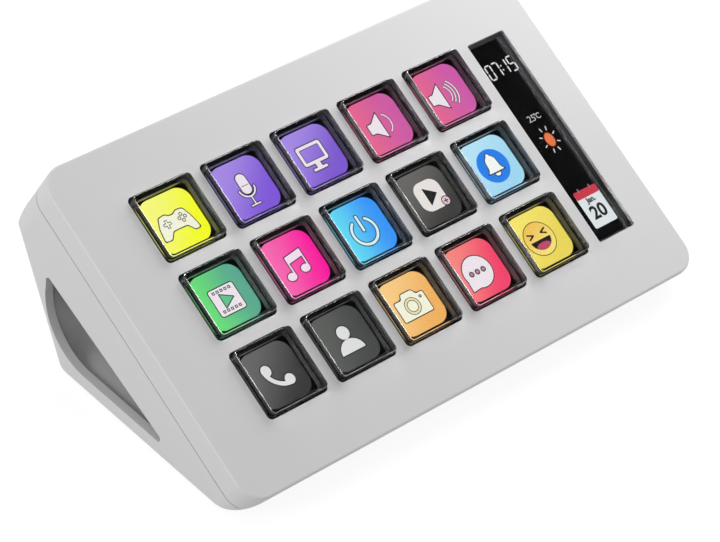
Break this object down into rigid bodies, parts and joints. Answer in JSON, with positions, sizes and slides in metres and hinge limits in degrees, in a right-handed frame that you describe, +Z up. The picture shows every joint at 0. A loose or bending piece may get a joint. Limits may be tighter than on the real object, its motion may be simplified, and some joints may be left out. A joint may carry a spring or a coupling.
{
  "type": "macro keypad",
  "caption": "Desktop macro keypad with clear keys over a colour display, a narrow side display and a hollow wedge stand",
  "frame": {"origin": "centre of the keypad's footprint box, on the desk surface under its rubber feet", "axes": "+X along a row of keys to the side display, +Y to the rear (the raised edge), +Z up"},
  "size_m": [0.13, 0.077, 0.0443],
  "materials": {
    "cover_plastic": "fine satin texture, off-white with a faint silver tone",
    "housing_plastic": "fine satin texture, off-white",
    "mask_plastic": "black, semi-gloss",
    "display_lens": "dark, clear, polished",
    "cap_clear": "clear polished acrylic",
    "foam_gasket": "fine closed-cell foam",
    "silicone_mat": "satin silicone",
    "printed_film": "translucent printed film",
    "display_glass": "polished, lit icon tiles",
    "diffuser_plastic": "white film",
    "tray_metal": "rolled sheet",
    "screw_steel": "zinc plated",
    "socket_steel": "drawn, satin",
    "board_laminate": "green solder mask",
    "chip_epoxy": "moulded epoxy",
    "component_ceramic": "ceramic with tinned ends",
    "connector_plastic": "ivory nylon",
    "flat_cable_film": "amber polyimide film",
    "foot_rubber": "dark grey rubber"
  },
  "bodies": {
    "case": {"front_cover": "cover_plastic", "rear_housing": "housing_plastic", "key_frame": "mask_plastic", "strip_lens": "display_lens", "strip_gasket": "foam_gasket", "return_mat": "silicone_mat", "switch_sheet": "printed_film", "display_panel": "display_glass", "backlight": "diffuser_plastic", "display_tray": "tray_metal", "tray_screws": "screw_steel", "main_board": "board_laminate", "board_screws": "screw_steel", "usb_socket": "socket_steel", "controller_chip": "chip_epoxy", "memory_chip": "chip_epoxy", "board_parts": "component_ceramic", "display_connector": "connector_plastic", "switch_connector": "connector_plastic", "display_ribbon": "flat_cable_film", "front_foot": "foot_rubber", "rear_foot": "foot_rubber", "cover_screws": "screw_steel"},
    "key_r1c1_body": {"key_r1c1": "cap_clear"},
    "key_r1c2_body": {"key_r1c2": "cap_clear"},
    "key_r1c3_body": {"key_r1c3": "cap_clear"},
    "key_r1c4_body": {"key_r1c4": "cap_clear"},
    "key_r1c5_body": {"key_r1c5": "cap_clear"},
    "key_r2c1_body": {"key_r2c1": "cap_clear"},
    "key_r2c2_body": {"key_r2c2": "cap_clear"},
    "key_r2c3_body": {"key_r2c3": "cap_clear"},
    "key_r2c4_body": {"key_r2c4": "cap_clear"},
    "key_r2c5_body": {"key_r2c5": "cap_clear"},
    "key_r3c1_body": {"key_r3c1": "cap_clear"},
    "key_r3c2_body": {"key_r3c2": "cap_clear"},
    "key_r3c3_body": {"key_r3c3": "cap_clear"},
    "key_r3c4_body": {"key_r3c4": "cap_clear"},
    "key_r3c5_body": {"key_r3c5": "cap_clear"}
  },
  "joints": [
    {"name": "press_r1c1", "type": "slide", "parent": "case", "child": "key_r1c1_body", "axis": [0, 0.4602, -0.8878], "range_m": [0, 0.0007], "stiffness_N_per_m": 300, "springref_m": -0.0015, "deforming": ["return_mat"]},
    {"name": "press_r1c2", "type": "slide", "parent": "case", "child": "key_r1c2_body", "axis": [0, 0.4602, -0.8878], "range_m": [0, 0.0007], "stiffness_N_per_m": 300, "springref_m": -0.0015, "deforming": ["return_mat"]},
    {"name": "press_r1c3", "type": "slide", "parent": "case", "child": "key_r1c3_body", "axis": [0, 0.4602, -0.8878], "range_m": [0, 0.0007], "stiffness_N_per_m": 300, "springref_m": -0.0015, "deforming": ["return_mat"]},
    {"name": "press_r1c4", "type": "slide", "parent": "case", "child": "key_r1c4_body", "axis": [0, 0.4602, -0.8878], "range_m": [0, 0.0007], "stiffness_N_per_m": 300, "springref_m": -0.0015, "deforming": ["return_mat"]},
    {"name": "press_r1c5", "type": "slide", "parent": "case", "child": "key_r1c5_body", "axis": [0, 0.4602, -0.8878], "range_m": [0, 0.0007], "stiffness_N_per_m": 300, "springref_m": -0.0015, "deforming": ["return_mat"]},
    {"name": "press_r2c1", "type": "slide", "parent": "case", "child": "key_r2c1_body", "axis": [0, 0.4602, -0.8878], "range_m": [0, 0.0007], "stiffness_N_per_m": 300, "springref_m": -0.0015, "deforming": ["return_mat"]},
    {"name": "press_r2c2", "type": "slide", "parent": "case", "child": "key_r2c2_body", "axis": [0, 0.4602, -0.8878], "range_m": [0, 0.0007], "stiffness_N_per_m": 300, "springref_m": -0.0015, "deforming": ["return_mat"]},
    {"name": "press_r2c3", "type": "slide", "parent": "case", "child": "key_r2c3_body", "axis": [0, 0.4602, -0.8878], "range_m": [0, 0.0007], "stiffness_N_per_m": 300, "springref_m": -0.0015, "deforming": ["return_mat"]},
    {"name": "press_r2c4", "type": "slide", "parent": "case", "child": "key_r2c4_body", "axis": [0, 0.4602, -0.8878], "range_m": [0, 0.0007], "stiffness_N_per_m": 300, "springref_m": -0.0015, "deforming": ["return_mat"]},
    {"name": "press_r2c5", "type": "slide", "parent": "case", "child": "key_r2c5_body", "axis": [0, 0.4602, -0.8878], "range_m": [0, 0.0007], "stiffness_N_per_m": 300, "springref_m": -0.0015, "deforming": ["return_mat"]},
    {"name": "press_r3c1", "type": "slide", "parent": "case", "child": "key_r3c1_body", "axis": [0, 0.4602, -0.8878], "range_m": [0, 0.0007], "stiffness_N_per_m": 300, "springref_m": -0.0015, "deforming": ["return_mat"]},
    {"name": "press_r3c2", "type": "slide", "parent": "case", "child": "key_r3c2_body", "axis": [0, 0.4602, -0.8878], "range_m": [0, 0.0007], "stiffness_N_per_m": 300, "springref_m": -0.0015, "deforming": ["return_mat"]},
    {"name": "press_r3c3", "type": "slide", "parent": "case", "child": "key_r3c3_body", "axis": [0, 0.4602, -0.8878], "range_m": [0, 0.0007], "stiffness_N_per_m": 300, "springref_m": -0.0015, "deforming": ["return_mat"]},
    {"name": "press_r3c4", "type": "slide", "parent": "case", "child": "key_r3c4_body", "axis": [0, 0.4602, -0.8878], "range_m": [0, 0.0007], "stiffness_N_per_m": 300, "springref_m": -0.0015, "deforming": ["return_mat"]},
    {"name": "press_r3c5", "type": "slide", "parent": "case", "child": "key_r3c5_body", "axis": [0, 0.4602, -0.8878], "range_m": [0, 0.0007], "stiffness_N_per_m": 300, "springref_m": -0.0015, "deforming": ["return_mat"]}
  ]
}
